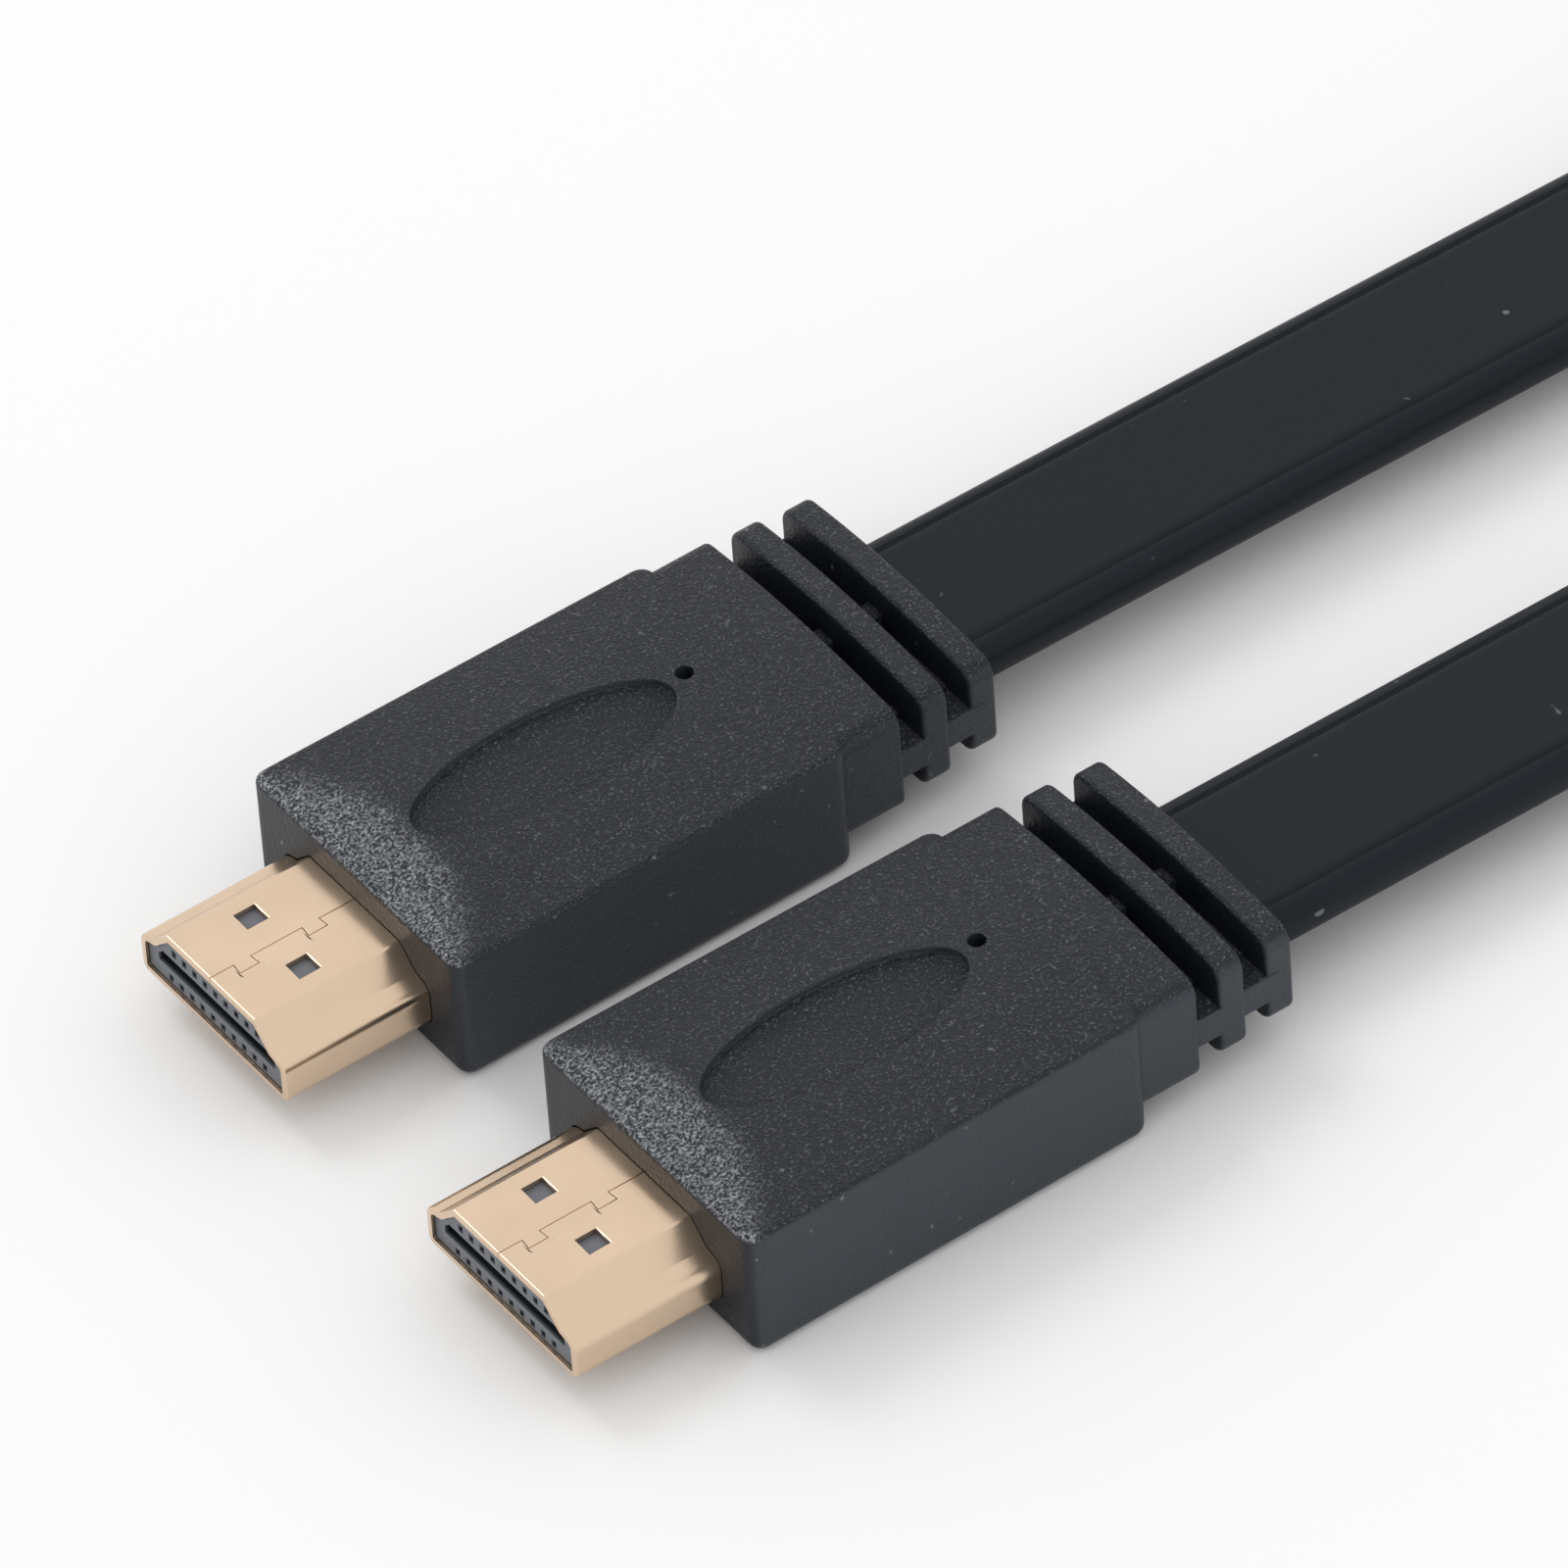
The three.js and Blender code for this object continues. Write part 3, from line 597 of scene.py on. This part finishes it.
def make_shell(name, y_shift, node):
    """The folded sheet: an outer and an inner skin without the faces of the windows, closed along every
    open edge."""
    rows = shell_rows()
    outer, inner = shell_skin(rows, 0.0), shell_skin(rows, SHEET)
    count, around, _ = outer.shape
    faces = grid_faces(count, around)
    middle = outer.reshape(-1, 3)[faces].mean(1)
    holes = (np.abs(middle[:, 0] - WINDOW_X) < WINDOW / 2) & (middle[:, 2] > SHELL_HEIGHT - 0.08)
    faces = faces[~(holes & (np.abs(np.abs(middle[:, 1]) - WINDOW_Y) < WINDOW / 2))]
    edges = np.stack([faces, np.roll(faces, -1, 1)], -1).reshape(-1, 2)
    _, first, uses = np.unique(np.sort(edges, 1), axis=0, return_index=True, return_counts=True)
    open_edges = edges[first[uses == 1]]
    start = count * around
    rims = np.column_stack([open_edges[:, ::-1], open_edges + start])
    points = np.concatenate([outer.reshape(-1, 3), inner.reshape(-1, 3)]) + [TIP_X, y_shift, SHELL_Z]
    every = np.concatenate([faces, faces[:, ::-1] + start, rims])
    piece = mesh_object(name, points, every.tolist(), GOLD, 42.0)
    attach(piece, "root")
    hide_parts(node)


# Grip
def top_height(x, y):
    """Height of the grip's top: the lower of a surface that falls with the square of y and a plane that
    slopes down to the front edge, rounded where they meet."""
    crown = GRIP_HEIGHT - GRIP_CROWN * (y / (GRIP_WIDTH / 2)) ** 2
    ramp = GRIP_HEIGHT - RAMP_DROP + RAMP_DROP * (x - GRIP_X) / RAMP_LENGTH
    low, high = np.minimum(crown, ramp), np.maximum(crown, ramp)
    return low - RAMP_SOFTNESS * np.log1p(np.exp(-(high - low) / RAMP_SOFTNESS))


def grip_plan(inset):
    """Plan of the grip moved inwards: a rounded rectangle (around, 2) that narrows towards the rear, with
    as many points for any inset."""
    half_length = GRIP_LENGTH / 2 - inset
    half_width = GRIP_WIDTH / 2 - inset
    radius = max(GRIP_CORNER - inset, 0.05)
    cx, cy = half_length - radius, half_width - radius
    straight_x = np.linspace(-1, 1, 61)[1:-1] * cx
    straight_y = np.linspace(-1, 1, 45)[1:-1] * cy
    rear = np.full(len(straight_y), half_length)
    side = np.full(len(straight_x), half_width)
    plan = np.concatenate([
        arc((cx, -cy), radius, -90, 0, 8), np.stack([rear, straight_y], -1),
        arc((cx, cy), radius, 0, 90, 8), np.stack([straight_x[::-1], side], -1),
        arc((-cx, cy), radius, 90, 180, 8), np.stack([-rear, straight_y[::-1]], -1),
        arc((-cx, -cy), radius, 180, 270, 8), np.stack([straight_x, -side], -1),
    ])
    plan[:, 0] += GRIP_X + GRIP_LENGTH / 2
    share = np.clip((plan[:, 0] - GRIP_X) / GRIP_LENGTH, 0, 1)
    plan[:, 1] *= 1 - (1 - REAR_WIDTH / GRIP_WIDTH) * share
    return plan


def grip_rings():
    """Rings of the grip's skin, from the middle of the oval field outwards over its wall, over the top,
    round the upper edge, down the sides, round the lower edge and in under the bottom."""
    rim = grip_plan(TOP_EDGE)
    angle = np.arctan2(rim[:, 1] / GRIP_WIDTH, (rim[:, 0] - OVAL_CENTRE[0]) / GRIP_LENGTH)
    unit = np.stack([np.cos(angle), np.sin(angle)], -1)

    def on_top(plan, sunk=0.0):
        return np.column_stack([plan, top_height(*plan.T) - sunk])

    rings = []
    for share in (0.02, 0.25, 0.5, 0.75, 0.9):
        rings.append(on_top(OVAL_CENTRE + unit * OVAL_HALF * share, OVAL_DEPTH))
    for offset, share in OVAL_WALL:
        rings.append(on_top(OVAL_CENTRE + unit * (OVAL_HALF + offset), OVAL_DEPTH * share))
    start = rings[-1][:, :2]
    rings += [on_top(start + (rim - start) * share) for share in np.linspace(0, 1, 33)[1:]]
    outline = grip_plan(0.0)
    height = top_height(*outline.T)
    for a in np.radians(np.linspace(0, 90, 7)[1:]):
        plan = grip_plan(TOP_EDGE * (1 - math.sin(a)))
        rings.append(np.column_stack([plan, height - TOP_EDGE * (1 - math.cos(a))]))
    low = np.full(len(outline), LOW_EDGE)
    side = height - TOP_EDGE
    rings += [np.column_stack([outline, z]) for z in (side - 0.05, side * 0.7 + low * 0.3, low + 0.05, low)]
    for a in np.radians(np.linspace(0, 90, 9)[1:]):
        rings.append(np.column_stack([grip_plan(LOW_EDGE * (1 - math.cos(a))), low * (1 - math.sin(a))]))
    rings.append(np.column_stack([grip_plan(LOW_EDGE + 0.05), np.zeros(len(outline))]))
    return np.array(rings)[::-1]


def crowned_section(half, low, high, crown, lower, upper, inset):
    """Section (around, 2) with a flat underside, upright sides and a top that falls with the square of
    the distance from its middle, moved inwards."""
    half, low, high = half - inset, low + inset, high - inset
    lower, upper = max(lower - inset, 0.04), max(upper - inset, 0.04)
    shoulder = high - crown * ((half - upper) / half) ** 2
    across = np.linspace(half - upper, upper - half, 25)[1:-1]
    sides = np.array([low + lower + 0.05, shoulder - upper - 0.05])
    return np.concatenate([
        np.array([[lower - half + 0.05, low], [half - lower - 0.05, low]]),
        arc((half - lower, low + lower), lower, -90, 0, 8),
        np.stack([[half, half], sides], -1),
        arc((half - upper, shoulder - upper), upper, 0, 90, 8),
        np.stack([across, high - crown * (across / half) ** 2], -1),
        arc((upper - half, shoulder - upper), upper, 90, 180, 8),
        np.stack([[-half, -half], sides[::-1]], -1),
        arc((lower - half, low + lower), lower, 180, 270, 8),
    ])


def bar(section, start, end, edge):
    """A closed body: a section, given as a function of its inset, drawn out along X. Over the last stretch
    at each end it shrinks as a quarter circle does."""
    angles = np.radians(np.linspace(0, 90, 6))
    rounding = [(start + edge * (1 - math.cos(a)), edge * (1 - math.sin(a))) for a in angles]
    stations = [(start, edge + 0.03), *rounding, (start + edge + 0.03, 0.0)]
    stations += [(start + end - x, inset) for x, inset in stations[::-1]]
    outlines = [(x, section(inset)) for x, inset in stations]
    return closed_skin(np.array([np.column_stack([np.full(len(shape), x), shape]) for x, shape in outlines]))


def relief_parts():
    """Strain relief: collar, two ribs, the flat neck and the round-edged core that joins them, and the
    web along the middle of the gaps."""
    def rib(step):
        sizes = np.array(COLLAR) + step * np.array(RIB_CHANGE)
        return lambda inset: crowned_section(*sizes, COLLAR_CROWN, RIB_LOW_CORNER, RIB_CORNER, inset)

    def block(sizes, corner=0.15):
        return lambda inset: crowned_section(*sizes, 0.0, corner, corner, inset)

    parts = [bar(rib(0), GRIP_REAR - 0.6, COLLAR_REAR, 0.2)]
    for step in (1, 2):
        start = FIRST_RIB + (step - 1) * RIB_STEP
        parts.append(bar(rib(step), start, start + RIB_LENGTH, 0.28))
    first, between = COLLAR_REAR - 0.5, FIRST_RIB + RIB_LENGTH / 2
    last = between + RIB_STEP
    parts.append(bar(block(NECK_FRONT), first, between, 0.02))
    parts.append(bar(block(NECK_REAR), between, last, 0.02))
    parts.append(bar(block(CORE), first, last, 0.02))
    parts.append(bar(block(WEB, 0.08), first, last, 0.02))
    return parts


def cut(body, cutters):
    """The body with each cutter taken away, as a plain mesh; the cutters are removed."""
    for tool in cutters:
        modifier = body.modifiers.new("cut", "BOOLEAN")
        modifier.operation, modifier.solver, modifier.object = "DIFFERENCE", "EXACT", tool
    graph = bpy.context.evaluated_depsgraph_get()
    mesh = bpy.data.meshes.new_from_object(body.evaluated_get(graph))
    body.modifiers.clear()
    body.data = mesh
    for tool in cutters:
        bpy.data.objects.remove(tool)


def make_grip(name, y_shift, node):
    """The moulded grip and strain relief of one plug, with the pocket for the shell and the pin hole."""
    place = np.array([TIP_X, y_shift, 0.0])

    def moulded(part_name, skin):
        return mesh_object(part_name, skin[0] + place, skin[1], GRIP, 35.0)

    body = moulded(name, closed_skin(grip_rings()))
    start, end, clearance = POCKET
    half = shell_section(clearance)
    loop = np.concatenate([half, (half[1:-1] * [-1, 1])[::-1]])[::-1] + [0.0, SHELL_Z]
    rings = np.array([np.column_stack([np.full(len(loop), x), loop]) for x in (start, end)])
    pocket = moulded("pocket", closed_skin(rings))
    circle = arc(PIN_HOLE, PIN_HOLE_RADIUS, 0, 345, 23)
    ends = (PIN_HOLE_BOTTOM, GRIP_HEIGHT + 1.0)
    rings = np.array([np.column_stack([circle, np.full(len(circle), z)]) for z in ends])
    hole = moulded("pin_hole", closed_skin(rings))
    cut(body, [pocket, hole])
    relief = [moulded(f"{name}_relief_{count}", skin) for count, skin in enumerate(relief_parts())]
    with bpy.context.temp_override(active_object=body, selected_editable_objects=[body, *relief]):
        bpy.ops.object.join()
    body.data.set_sharp_from_angle(angle=math.radians(35.0))
    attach(body, "root")
    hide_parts(node)


# Insert and contacts
def dress(node, material):
    """A CAD node kept as it is, with its procedural material."""
    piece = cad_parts[node]
    piece.data.materials.clear()
    piece.data.materials.append(material)


for letter, y in (("a", PLUG_Y), ("b", -PLUG_Y)):
    make_shell(f"shell_{letter}", y, f"plug_{letter}_shell")
    make_grip(f"grip_{letter}", y, f"plug_{letter}_grip")
    dress(f"plug_{letter}_insert", INSERT)
    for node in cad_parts:
        if node.startswith(f"plug_{letter}_contact"):
            dress(node, CONTACT)


# Floor, world and light
def make_floor():
    """A wide plain pale floor: a flat grid of square faces."""
    material, tree, shader, place = new_material("floor", Roughness=0.9)
    patches = placed(tree, CLOUDING, Place=place, Scale=3.0, Detail=2.0, First=(0.86, 0.86, 0.86, 1),
                     Second=(0.88, 0.88, 0.88, 1))
    tree.links.new(patches["Colour"], shader.inputs["Base Color"])
    steps = np.linspace(-4000, 4000, 9)
    x, y = np.meshgrid(steps, steps, indexing="ij")
    points = np.stack([x, y, np.zeros_like(x)], -1).reshape(-1, 3)
    floor = mesh_object("floor", points, grid_faces(9, 9).tolist(), material)


def area_light(name, place, target, size, power):
    """A square soft light at a place, facing a target, both in metres."""
    light = bpy.data.lights.new(name, "AREA")
    light.shape, light.size, light.energy = "SQUARE", size, power
    holder = bpy.data.objects.new(name, light)
    bpy.context.scene.collection.objects.link(holder)
    holder.location = place
    holder.rotation_euler = (Vector(target) - Vector(place)).to_track_quat("-Z", "Y").to_euler()


def make_studio():
    """An evenly white room round the object."""
    world = bpy.data.worlds.new("studio")
    bpy.context.scene.world = world
    world.use_nodes = True
    world.node_tree.nodes["Background"].inputs["Color"].default_value = (1, 1, 1, 1)
    world.node_tree.nodes["Background"].inputs["Strength"].default_value = 1.0
    bpy.context.scene.view_settings.view_transform = "Standard"


make_floor()
make_studio()
area_light("key", (-0.1, 1.0, 1.20), (0.0, 0.0, 0.0), 0.6, 4.0)
